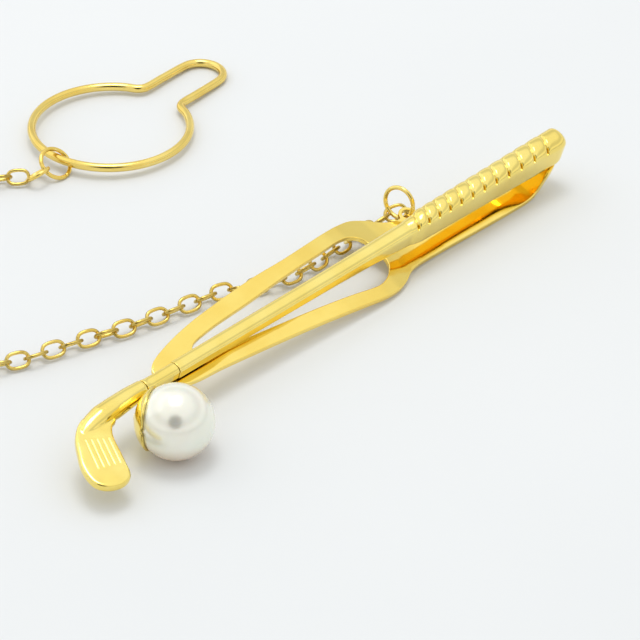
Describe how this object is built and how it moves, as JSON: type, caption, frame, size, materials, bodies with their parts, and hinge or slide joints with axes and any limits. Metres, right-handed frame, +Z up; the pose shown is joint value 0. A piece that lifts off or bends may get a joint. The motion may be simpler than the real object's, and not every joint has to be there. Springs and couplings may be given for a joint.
{
  "type": "tie clip",
  "caption": "Yellow gold tie clip shaped as a golf iron with a pearl ball, sprung openwork strip, safety chain and button loop.",
  "frame": {"origin": "centre of the clip's footprint on the table it lies on, without the chain and button loop", "axes": "+X along the club from head to butt, +Y away from the pearl towards the chain, +Z up from the table"},
  "size_m": [0.068, 0.0559, 0.007],
  "materials": {
    "club_gold": "polished yellow gold colour",
    "strip_gold": "mirror polished yellow gold colour",
    "wire_gold": "bright drawn wire, yellow gold colour",
    "nacre": "white pearl with a soft lustre"
  },
  "bodies": {
    "strip": {"spring_clip": "strip_gold", "safety_chain": "wire_gold", "loop_ring_inner": "wire_gold", "loop_ring_outer": "wire_gold"},
    "club": {"club_shaft": "club_gold", "club_grip": "club_gold", "hosel_ferrule": "club_gold", "club_head": "club_gold", "pearl": "nacre", "pearl_cup": "club_gold", "pearl_peg": "club_gold", "clip_foot": "strip_gold"},
    "ring": {"clip_jump_ring": "wire_gold"},
    "loop": {"button_loop": "wire_gold"}
  },
  "joints": [
    {"name": "jaw", "type": "hinge", "parent": "strip", "child": "club", "pos_m": [0.02978, 0.00222, 0.00141], "axis": [0, 0.9613, 0.2756], "range_deg": [0, 6], "stiffness_Nm_per_rad": 1.5, "springref_deg": -2.86},
    {"name": "ring_swing", "type": "hinge", "parent": "strip", "child": "ring", "pos_m": [0.01648, 0.00497, 0.00181], "axis": [0.9722, 0.18, -0.15], "range_deg": [-45, 0]},
    {"name": "loop_swing", "type": "hinge", "parent": "strip", "child": "loop", "pos_m": [0, 0.03802, 0.00125], "axis": [0.1736, -0.9848, -0.0055], "range_deg": [0, 120]}
  ]
}
